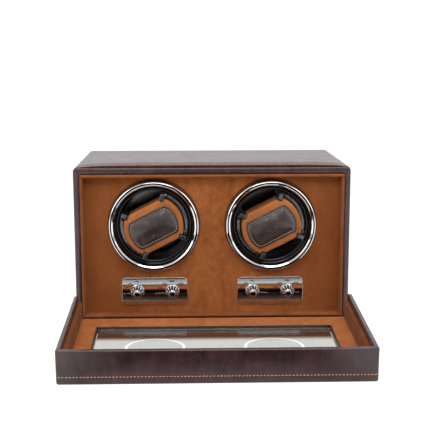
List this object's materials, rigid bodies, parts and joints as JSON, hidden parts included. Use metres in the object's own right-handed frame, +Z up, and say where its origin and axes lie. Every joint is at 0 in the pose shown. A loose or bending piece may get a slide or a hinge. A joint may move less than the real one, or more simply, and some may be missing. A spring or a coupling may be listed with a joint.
{
  "type": "watch winder box",
  "caption": "Leather-covered double watch winder box with a drop-front glazed lid, two turning cushioned cups in a suede panel and knobs on polished plates.",
  "frame": {"origin": "on the table, under the middle of the case's front face", "axes": "+X to the viewer's right, +Y from front to back, +Z up"},
  "size_m": [0.31, 0.407, 0.181],
  "materials": {
    "leather": "dark brown leather, fine grain, semi-gloss",
    "suede": "tan suede",
    "cushion_suede": "tan suede over foam",
    "board": "raw fibre board",
    "felt": "dark brown felt",
    "black_plastic": "black, glossy",
    "chrome": "polished",
    "switch_plastic": "moulded",
    "circuit_board": "solder mask",
    "glass": "clear, flat",
    "nylon": "moulded nylon",
    "brass": "satin",
    "steel": "satin"
  },
  "bodies": {
    "case": {"base_felt": "felt", "base_board": "leather", "case_carcass": "board", "case_leather": "leather", "collar": "suede", "front_panel": "suede", "bezel_left": "chrome", "bezel_right": "chrome", "bezel_sleeve_left": "black_plastic", "bezel_sleeve_right": "black_plastic", "control_plate_left": "chrome", "control_plate_right": "chrome", "switches_left": "switch_plastic", "switches_right": "switch_plastic", "circuit_board_left": "circuit_board", "circuit_board_right": "circuit_board", "bearing_left": "brass", "bearing_right": "brass", "gear_motor_left": "steel", "gear_motor_right": "steel", "mechanism_plate": "steel", "standoffs": "brass", "plate_screws": "steel", "back_cover": "leather", "back_screws": "steel", "power_inlet": "black_plastic", "case_magnets": "steel", "hinge_base_leaf": "brass", "hinge_pin": "steel", "hinge_base_screws": "steel"},
    "lid": {"lid_board": "board", "lid_leather": "leather", "lid_floor_lining": "suede", "lid_wall_lining": "suede", "window_glass": "glass", "window_bead": "black_plastic", "hinge_lid_leaf": "brass", "hinge_lid_screws": "steel", "lid_strike_plates": "steel"},
    "rotor_left": {"cup_left": "black_plastic", "cuff_holder_left": "black_plastic", "drive_gear_left": "nylon", "rotor_shaft_left": "steel"},
    "motor_drive_left": {"pinion_left": "brass", "motor_shaft_left": "steel"},
    "pad_left": {"cushion_left": "cushion_suede", "cushion_patch_left": "leather"},
    "selector_left_direction": {"knob_left_direction": "chrome"},
    "selector_left_turns": {"knob_left_turns": "chrome"},
    "rotor_right": {"cup_right": "black_plastic", "cuff_holder_right": "black_plastic", "drive_gear_right": "nylon", "rotor_shaft_right": "steel"},
    "motor_drive_right": {"pinion_right": "brass", "motor_shaft_right": "steel"},
    "pad_right": {"cushion_right": "cushion_suede", "cushion_patch_right": "leather"},
    "selector_right_direction": {"knob_right_direction": "chrome"},
    "selector_right_turns": {"knob_right_turns": "chrome"}
  },
  "joints": [
    {"name": "lid_hinge", "type": "hinge", "parent": "case", "child": "lid", "pos_m": [0, -0.03735, 0.0082], "axis": [1, 0, 0], "range_deg": [-93.62, 0]},
    {"name": "rotor_left_spin", "type": "hinge", "parent": "case", "child": "rotor_left", "pos_m": [-0.066, 0, 0.116], "axis": [0, 1, 0], "continuous": true},
    {"name": "pinion_left_spin", "type": "hinge", "parent": "case", "child": "motor_drive_left", "pos_m": [-0.03339, 0, 0.13483], "axis": [0, 1, 0], "continuous": true},
    {"name": "cushion_left_pull", "type": "slide", "parent": "rotor_left", "child": "pad_left", "axis": [0, -1, 0], "range_m": [0, 0.045]},
    {"name": "knob_left_direction_turn", "type": "hinge", "parent": "case", "child": "selector_left_direction", "pos_m": [-0.086, 0, 0.0385], "axis": [0, -1, 0], "range_deg": [0, 105]},
    {"name": "knob_left_turns_turn", "type": "hinge", "parent": "case", "child": "selector_left_turns", "pos_m": [-0.046, 0, 0.0385], "axis": [0, -1, 0], "range_deg": [-35, 105]},
    {"name": "rotor_right_spin", "type": "hinge", "parent": "case", "child": "rotor_right", "pos_m": [0.066, 0, 0.116], "axis": [0, 1, 0], "continuous": true},
    {"name": "pinion_right_spin", "type": "hinge", "parent": "case", "child": "motor_drive_right", "pos_m": [0.03339, 0, 0.13483], "axis": [0, 1, 0], "continuous": true},
    {"name": "cushion_right_pull", "type": "slide", "parent": "rotor_right", "child": "pad_right", "axis": [0, -1, 0], "range_m": [0, 0.045]},
    {"name": "knob_right_direction_turn", "type": "hinge", "parent": "case", "child": "selector_right_direction", "pos_m": [0.046, 0, 0.0385], "axis": [0, -1, 0], "range_deg": [0, 105]},
    {"name": "knob_right_turns_turn", "type": "hinge", "parent": "case", "child": "selector_right_turns", "pos_m": [0.086, 0, 0.0385], "axis": [0, -1, 0], "range_deg": [-35, 105]}
  ],
  "couplings": [
    {"joint": "pinion_left_spin", "follows": "rotor_left_spin", "ratio": -4},
    {"joint": "pinion_right_spin", "follows": "rotor_right_spin", "ratio": -4}
  ]
}
